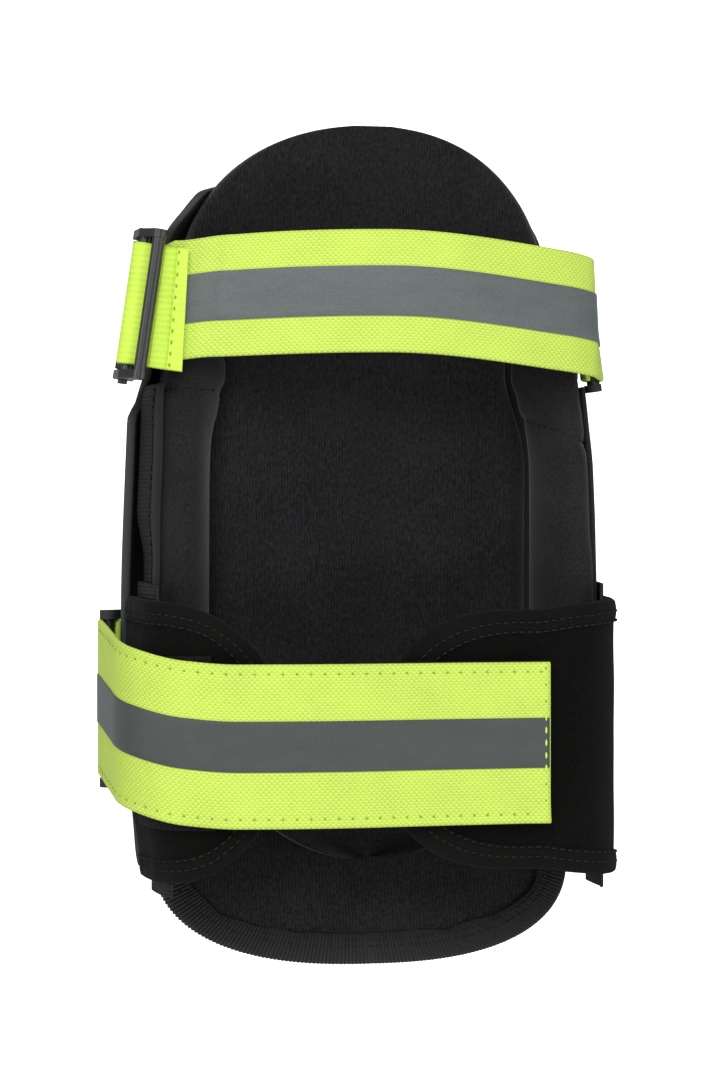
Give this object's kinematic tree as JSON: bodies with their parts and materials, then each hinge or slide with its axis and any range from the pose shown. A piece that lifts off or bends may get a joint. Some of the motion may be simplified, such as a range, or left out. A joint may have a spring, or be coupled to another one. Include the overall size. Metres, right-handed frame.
{
  "type": "knee pad",
  "caption": "Knee pad with a moulded cap, foam and gel cushion, side rails, folding neoprene wings, a wide hook-and-loop lower strap and an upper strap on a slide.",
  "frame": {"origin": "middle of the tread insert's flat face, on which the pad lies", "axes": "+Z from the floor up to the wearer's leg, +Y along the pad to its thigh end, +X to the right as seen from the leg side with the thigh end up"},
  "size_m": [0.1639, 0.2649, 0.0843],
  "materials": {
    "cap_rubber": "matte moulded rubber",
    "tread_rubber": "matte ribbed rubber",
    "base_board": "matte board",
    "foam": "closed-cell foam",
    "gel": "soft gel",
    "knit_liner": "brushed knit with fine wales",
    "shin_fabric": "brushed knit",
    "binding_tape": "ribbed grosgrain tape",
    "rail_jersey": "smooth jersey over foam",
    "woven_nylon": "coarse woven nylon",
    "smooth_neoprene": "smooth neoprene",
    "wing_neoprene": "brushed neoprene",
    "hem_fabric": "folded hem",
    "loop_pile": "fuzzy loop pile",
    "hook_tape": "hook tape",
    "hi_vis_elastic": "woven elastic",
    "reflective_tape": "grey retroreflective tape",
    "slide_plastic": "glossy moulded plastic",
    "steel": "plated steel"
  },
  "bodies": {
    "pad": {"tread_insert": "tread_rubber", "cap_shell": "cap_rubber", "base_plate": "base_board", "foam_core": "foam", "gel_insert": "gel", "knee_cushion": "knit_liner", "shin_panel": "shin_fabric", "edge_binding": "binding_tape", "left_rail": "rail_jersey", "right_rail": "rail_jersey", "left_side_cover": "woven_nylon", "right_side_cover": "woven_nylon", "left_side_band": "smooth_neoprene", "right_side_band": "smooth_neoprene", "upper_left_lug": "cap_rubber", "upper_right_lug": "cap_rubber", "lower_left_lug": "cap_rubber", "slide_pin": "steel", "upper_right_bar": "steel", "lower_left_bar": "steel", "lug_rivets": "steel", "rivet_washers": "steel", "upper_strap": "hi_vis_elastic", "upper_strap_tape": "reflective_tape"},
    "left_wing": {"left_gusset": "woven_nylon", "left_wing": "wing_neoprene", "left_wing_hem": "hem_fabric", "left_loop_patch": "loop_pile"},
    "right_wing": {"right_gusset": "woven_nylon", "right_wing": "wing_neoprene", "right_wing_hem": "hem_fabric", "right_loop_panel": "loop_pile"},
    "lower_strap": {"lower_strap": "hi_vis_elastic", "lower_strap_tape": "reflective_tape", "lower_strap_hook": "hook_tape"},
    "slide": {"strap_slide": "slide_plastic", "strap_return": "hi_vis_elastic"},
    "tail": {"strap_tail": "hi_vis_elastic", "tail_hem": "hi_vis_elastic"}
  },
  "joints": [
    {"name": "lower_strap_swing", "type": "hinge", "parent": "pad", "child": "lower_strap", "pos_m": [-0.081, -0.051, 0.018], "axis": [0, -1, 0], "range_deg": [0, 110]},
    {"name": "left_wing_fold", "type": "hinge", "parent": "pad", "child": "left_wing", "pos_m": [-0.0756, -0.062, 0.038], "axis": [0, -1, 0], "range_deg": [0, 90]},
    {"name": "right_wing_fold", "type": "hinge", "parent": "pad", "child": "right_wing", "pos_m": [0.0756, -0.062, 0.038], "axis": [0, 1, 0], "range_deg": [0, 90]},
    {"name": "slide_tilt", "type": "hinge", "parent": "pad", "child": "slide", "pos_m": [-0.07654, 0.07299, 0.04764], "axis": [-0.1444, -0.9895, 0], "range_deg": [0, 25]},
    {"name": "tail_peel", "type": "hinge", "parent": "slide", "child": "tail", "pos_m": [-0.07041, 0.07209, 0.05954], "axis": [-0.1444, -0.9895, 0], "range_deg": [0, 84]}
  ],
  "couplings": [
    {"joint": "left_wing_fold", "follows": "lower_strap_swing", "ratio": 0.75},
    {"joint": "right_wing_fold", "follows": "lower_strap_swing", "ratio": 0.75}
  ]
}
